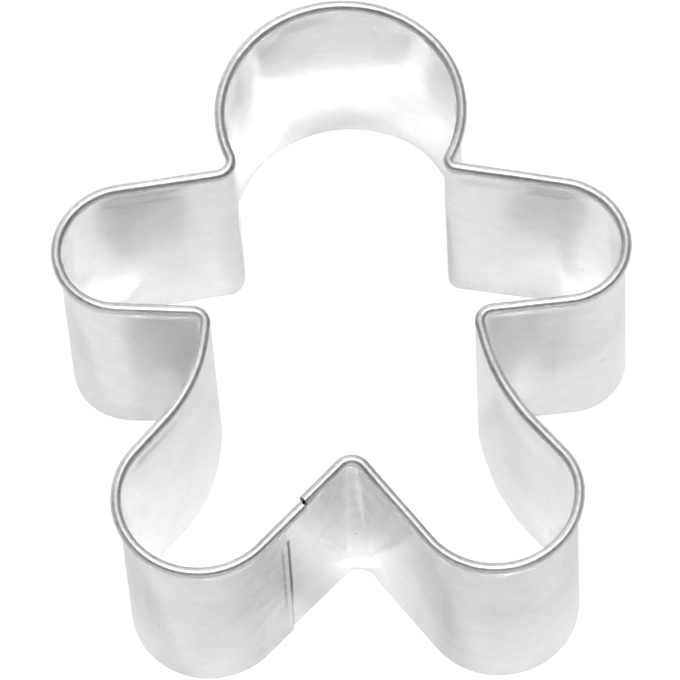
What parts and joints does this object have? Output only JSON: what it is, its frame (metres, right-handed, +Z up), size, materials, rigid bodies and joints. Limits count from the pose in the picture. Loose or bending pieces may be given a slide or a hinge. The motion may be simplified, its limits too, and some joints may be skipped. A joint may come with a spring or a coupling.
{
  "type": "cookie cutter",
  "caption": "Open tinplate cookie cutter in a plain gingerbread figure outline, with a hemmed upper edge and a lapped, spot-welded seam.",
  "frame": {"origin": "middle of the cutter's box, on the plane of the cutting edge", "axes": "+Z up from the cutting edge to the hem, +Y towards the figure's head, +X towards the arm at the viewer's right"},
  "size_m": [0.0502, 0.056, 0.0222],
  "materials": {
    "tinplate": "bright rolled tinplate with faint rolling lines",
    "weld": "fused tinplate, slightly sunk and duller than the sheet"
  },
  "bodies": {
    "root": {"cutter_band": "tinplate", "spot_weld_lower": "weld", "spot_weld_upper": "weld"}
  },
  "joints": []
}
